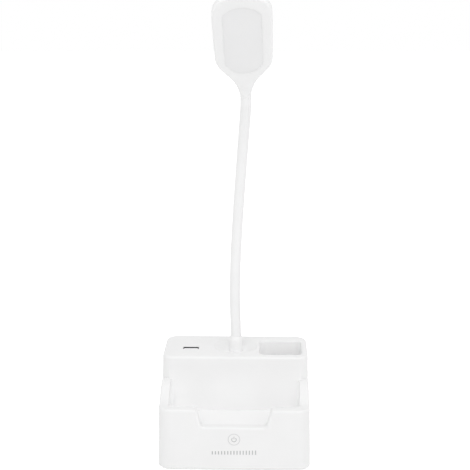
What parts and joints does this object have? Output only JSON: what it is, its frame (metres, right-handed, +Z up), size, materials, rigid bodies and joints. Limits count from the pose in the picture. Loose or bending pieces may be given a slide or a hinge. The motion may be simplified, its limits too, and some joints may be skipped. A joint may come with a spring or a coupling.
{
  "type": "desk lamp",
  "caption": "White LED desk lamp: a panel head on a flexible gooseneck arm over an organiser base with a phone tray and a pen well.",
  "frame": {"origin": "on the desk, under the middle of the base", "axes": "+Z up, +X to the right seen from the front, -Y towards the front, where the phone tray and the lit panel face"},
  "size_m": [0.12, 0.0946, 0.3644],
  "materials": {
    "housing": "white moulded ABS, satin with a very fine spark texture",
    "plate": "white moulded ABS, matte",
    "foot_rubber": "light grey soft rubber",
    "steel": "zinc-plated steel",
    "brass": "turned brass, plain",
    "port_metal": "stamped and plated sheet steel",
    "cell_wrap": "shrink-wrapped lithium cell",
    "nickel": "nickel strip",
    "circuit_board": "glass-epoxy board, green mask",
    "dark_parts": "dark moulded components",
    "port_plastic": "white moulded insulator",
    "copper": "copper foil",
    "arm_sleeve": "white silicone sleeve, smooth satin",
    "head_shell": "white moulded ABS, satin",
    "diffuser": "milky polycarbonate, satin",
    "light_guide": "clear acrylic",
    "led_board": "aluminium-backed board, white mask",
    "led_chip": "warm white LED package"
  },
  "bodies": {
    "base": {"base_housing": "housing", "base_plate": "plate", "rubber_feet": "foot_rubber", "base_screws": "steel", "ballast_plate": "steel", "ballast_screws": "steel", "battery_cell": "cell_wrap", "battery_tabs": "nickel", "main_circuit_board": "circuit_board", "board_parts": "dark_parts", "board_screws": "steel", "charging_port_shell": "port_metal", "charging_port_tongue": "port_plastic", "usb_output_shell": "port_metal", "usb_output_tongue": "port_plastic", "usb_output_board": "circuit_board", "usb_board_screws": "steel", "touch_board": "circuit_board", "touch_electrode": "copper", "root_bushing": "brass", "root_washer": "steel", "root_nut": "steel", "arm_collar": "housing", "gooseneck_root": "arm_sleeve"},
    "link_1": {"gooseneck_link_1": "arm_sleeve"},
    "link_2": {"gooseneck_link_2": "arm_sleeve"},
    "link_3": {"gooseneck_link_3": "arm_sleeve"},
    "link_4": {"gooseneck_link_4": "arm_sleeve"},
    "link_5": {"gooseneck_link_5": "arm_sleeve"},
    "link_6": {"gooseneck_link_6": "arm_sleeve"},
    "link_7": {"gooseneck_link_7": "arm_sleeve"},
    "link_8": {"gooseneck_link_8": "arm_sleeve"},
    "link_9": {"gooseneck_link_9": "arm_sleeve"},
    "head": {"gooseneck_tip": "arm_sleeve", "head_front_shell": "head_shell", "head_rear_shell": "head_shell", "diffuser": "diffuser", "light_guide": "light_guide", "led_board": "led_board", "led_chips": "led_chip", "led_board_screws": "steel"}
  },
  "joints": [
    {"name": "lower_bend", "type": "hinge", "parent": "base", "child": "link_1", "pos_m": [0, 0.01874, 0.094], "axis": [1, 0, 0], "range_deg": [-20, 20]},
    {"name": "lower_sway", "type": "hinge", "parent": "link_1", "child": "link_2", "pos_m": [-0.00083, 0.01873, 0.11498], "axis": [0, 1, 0.0007], "range_deg": [-18, 18]},
    {"name": "lower_bend_2", "type": "hinge", "parent": "link_2", "child": "link_3", "pos_m": [-0.00081, 0.01863, 0.13598], "axis": [1, 0, -0.0009], "range_deg": [-20, 20]},
    {"name": "lower_sway_2", "type": "hinge", "parent": "link_3", "child": "link_4", "pos_m": [-0.00019, 0.01831, 0.15697], "axis": [0, 0.9999, 0.015], "range_deg": [-18, 18]},
    {"name": "lower_bend_3", "type": "hinge", "parent": "link_4", "child": "link_5", "pos_m": [0.00085, 0.01761, 0.17793], "axis": [0.9988, 0.0017, -0.0494], "range_deg": [-20, 20]},
    {"name": "lower_sway_3", "type": "hinge", "parent": "link_5", "child": "link_6", "pos_m": [0.00215, 0.0163, 0.19885], "axis": [0, 0.998, 0.0626], "range_deg": [-18, 18]},
    {"name": "upper_bend", "type": "hinge", "parent": "link_6", "child": "link_7", "pos_m": [0.00361, 0.01411, 0.21969], "axis": [0.9976, 0.0072, -0.0689], "range_deg": [-25, 25]},
    {"name": "upper_sway", "type": "hinge", "parent": "link_7", "child": "link_8", "pos_m": [0.00514, 0.01076, 0.24036], "axis": [0, 0.9871, 0.16], "range_deg": [-22, 22]},
    {"name": "upper_bend_2", "type": "hinge", "parent": "link_8", "child": "link_9", "pos_m": [0.00671, 0.00591, 0.26073], "axis": [0.9972, 0.0173, -0.0725], "range_deg": [-25, 25]},
    {"name": "upper_sway_2", "type": "hinge", "parent": "link_9", "child": "head", "pos_m": [0.00828, -0.00077, 0.28058], "axis": [0, 0.9477, 0.3192], "range_deg": [-22, 22]}
  ],
  "couplings": [
    {"joint": "lower_bend_2", "follows": "lower_bend", "ratio": 1},
    {"joint": "lower_sway_2", "follows": "lower_sway", "ratio": 1},
    {"joint": "lower_bend_3", "follows": "lower_bend", "ratio": 1},
    {"joint": "lower_sway_3", "follows": "lower_sway", "ratio": 1},
    {"joint": "upper_bend_2", "follows": "upper_bend", "ratio": 1},
    {"joint": "upper_sway_2", "follows": "upper_sway", "ratio": 1}
  ]
}
